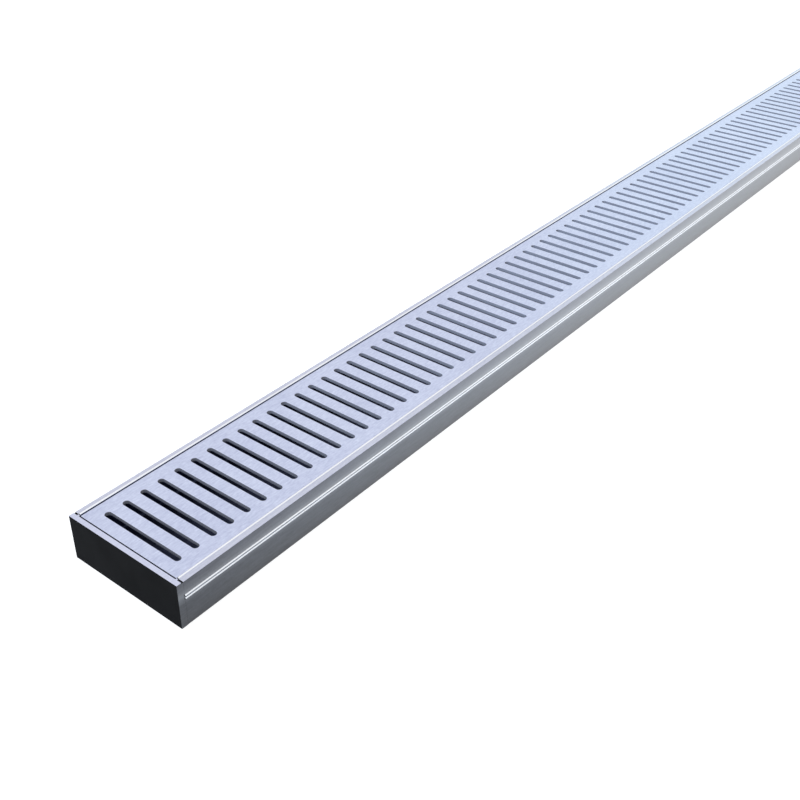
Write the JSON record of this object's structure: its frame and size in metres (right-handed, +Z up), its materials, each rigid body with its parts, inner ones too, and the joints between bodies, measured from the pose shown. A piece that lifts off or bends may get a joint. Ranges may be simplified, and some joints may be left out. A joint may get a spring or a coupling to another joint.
{
  "type": "channel drain",
  "caption": "Linear floor drain: an extruded trough with end caps and a drop-in slotted grate, draining through a pipe socket in its floor.",
  "frame": {"origin": "middle of the underside", "axes": "+X along the channel towards the end cap that the picture doesn't show, +Y across it, +Z up"},
  "size_m": [1.2, 0.076, 0.0265],
  "materials": {
    "channel_aluminium": "satin anodised",
    "grate_aluminium": "satin anodised",
    "cap_aluminium": "satin anodised",
    "seal_rubber": "matt",
    "socket_plastic": "moulded",
    "strainer_steel": "brushed"
  },
  "bodies": {
    "root": {"channel_frame": "channel_aluminium", "slotted_grate": "grate_aluminium", "end_cap_near": "cap_aluminium", "end_cap_far": "cap_aluminium", "end_seal_near": "seal_rubber", "end_seal_far": "seal_rubber", "outlet_socket": "socket_plastic", "outlet_gasket": "seal_rubber", "outlet_strainer": "strainer_steel"}
  },
  "joints": []
}
